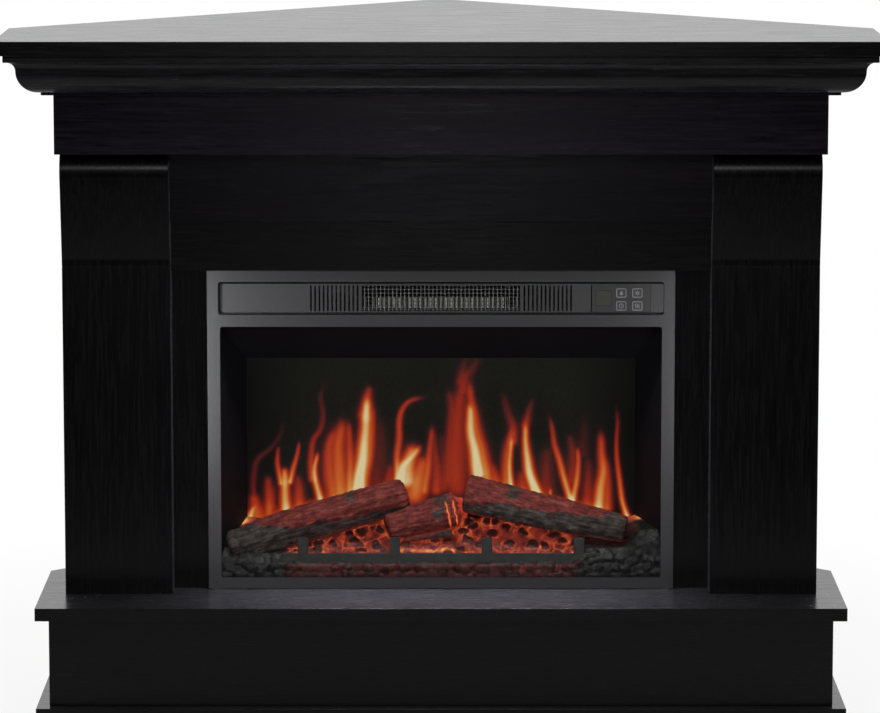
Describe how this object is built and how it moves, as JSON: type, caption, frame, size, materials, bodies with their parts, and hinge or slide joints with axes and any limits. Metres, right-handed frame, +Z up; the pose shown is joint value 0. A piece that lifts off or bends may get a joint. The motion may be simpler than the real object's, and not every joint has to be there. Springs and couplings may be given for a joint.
{
  "type": "corner fireplace",
  "caption": "Corner fireplace: a dark veneered mantel with a five-sided top and plinth, corbelled columns, and an electric firebox with logs, flame screen and heater.",
  "frame": {"origin": "on the floor, on the plane of symmetry, half way between the front edge of the top and its rear corner", "axes": "+X to the right seen from the front, +Y into the room corner (the front faces -Y), +Z up"},
  "size_m": [1.23, 0.865, 0.955],
  "materials": {
    "dark_veneer": "near-black oak veneer on board, satin gloss lacquer, fine level grain",
    "zinc_steel": "zinc-plated sheet steel, folded and punched",
    "screw_steel": "zinc-plated pan head screws",
    "grey_frame": "satin graphite powder paint",
    "smoked_glass": "clear glass with a faint smoke tint",
    "black_plastic": "satin dark grey moulded plastic",
    "guard_wire": "dark wire guard",
    "heater_alloy": "pale ribbed heating element",
    "blower_plastic": "black moulded blower wheel",
    "motor_steel": "plated motor can",
    "receiver_lens": "dark translucent window",
    "button_plastic": "dark cap with a pale printed symbol",
    "circuit_board": "green circuit board",
    "liner_black": "black painted sheet",
    "screen_acrylic": "dark flame screen, lit from behind",
    "rotor_foil": "bright reflecting flags on a rod",
    "log_resin": "painted resin bark, glowing in its cracks",
    "ember_resin": "translucent resin coals lit from below",
    "grate_black": "black grate bar",
    "led_board": "white strip with lamps",
    "rubber": "black rubber",
    "gland_nylon": "black nylon gland"
  },
  "bodies": {
    "root": {"top_slab": "dark_veneer", "crown_front": "dark_veneer", "crown_left": "dark_veneer", "crown_right": "dark_veneer", "rear_rails": "dark_veneer", "cornice_board": "dark_veneer", "frieze_front": "dark_veneer", "frieze_left": "dark_veneer", "frieze_right": "dark_veneer", "header_soffit": "dark_veneer", "upper_beam": "dark_veneer", "lower_beam": "dark_veneer", "left_corbel": "dark_veneer", "right_corbel": "dark_veneer", "left_column_front": "dark_veneer", "right_column_front": "dark_veneer", "left_column_side": "dark_veneer", "right_column_side": "dark_veneer", "column_returns": "dark_veneer", "left_side_panel": "dark_veneer", "right_side_panel": "dark_veneer", "plinth_top_board": "dark_veneer", "plinth_front": "dark_veneer", "plinth_left": "dark_veneer", "plinth_right": "dark_veneer", "plinth_rear_boards": "dark_veneer", "plinth_base_board": "dark_veneer", "corner_post": "dark_veneer", "angle_brackets": "zinc_steel", "screws": "screw_steel", "insert_frame": "grey_frame", "front_glass": "smoked_glass", "vent_fascia": "black_plastic", "vent_guard": "guard_wire", "heating_element": "heater_alloy", "heater_duct": "zinc_steel", "blower_motor": "motor_steel", "control_panel": "black_plastic", "receiver_window": "receiver_lens", "control_board": "circuit_board", "casing_wrap": "zinc_steel", "casing_bottom": "zinc_steel", "casing_back": "zinc_steel", "chamber_liner": "liner_black", "flame_screen": "screen_acrylic", "flame_motor": "motor_steel", "log_left": "log_resin", "log_centre": "log_resin", "log_right": "log_resin", "fire_bed": "ember_resin", "grate_bar": "grate_black", "led_strips": "led_board", "rubber_feet": "rubber", "cable_gland": "gland_nylon"},
    "flame_rotor": {"flame_rotor": "rotor_foil"},
    "blower": {"blower_wheel": "blower_plastic"},
    "flame_button": {"flame_button": "button_plastic"},
    "dimmer_button": {"dimmer_button": "button_plastic"},
    "timer_button": {"timer_button": "button_plastic"},
    "heat_button": {"heat_button": "button_plastic"}
  },
  "joints": [
    {"name": "flame_rotor_spin", "type": "hinge", "parent": "root", "child": "flame_rotor", "pos_m": [0, -0.114, 0.235], "axis": [1, 0, 0], "continuous": true},
    {"name": "blower_spin", "type": "hinge", "parent": "root", "child": "blower", "pos_m": [0, -0.1875, 0.5805], "axis": [1, 0, 0], "continuous": true},
    {"name": "flame_button_press", "type": "slide", "parent": "root", "child": "flame_button", "axis": [0, 1, 0], "range_m": [0, 0.0008], "stiffness_N_per_m": 600},
    {"name": "dimmer_button_press", "type": "slide", "parent": "root", "child": "dimmer_button", "axis": [0, 1, 0], "range_m": [0, 0.0008], "stiffness_N_per_m": 600},
    {"name": "timer_button_press", "type": "slide", "parent": "root", "child": "timer_button", "axis": [0, 1, 0], "range_m": [0, 0.0008], "stiffness_N_per_m": 600},
    {"name": "heat_button_press", "type": "slide", "parent": "root", "child": "heat_button", "axis": [0, 1, 0], "range_m": [0, 0.0008], "stiffness_N_per_m": 600}
  ]
}
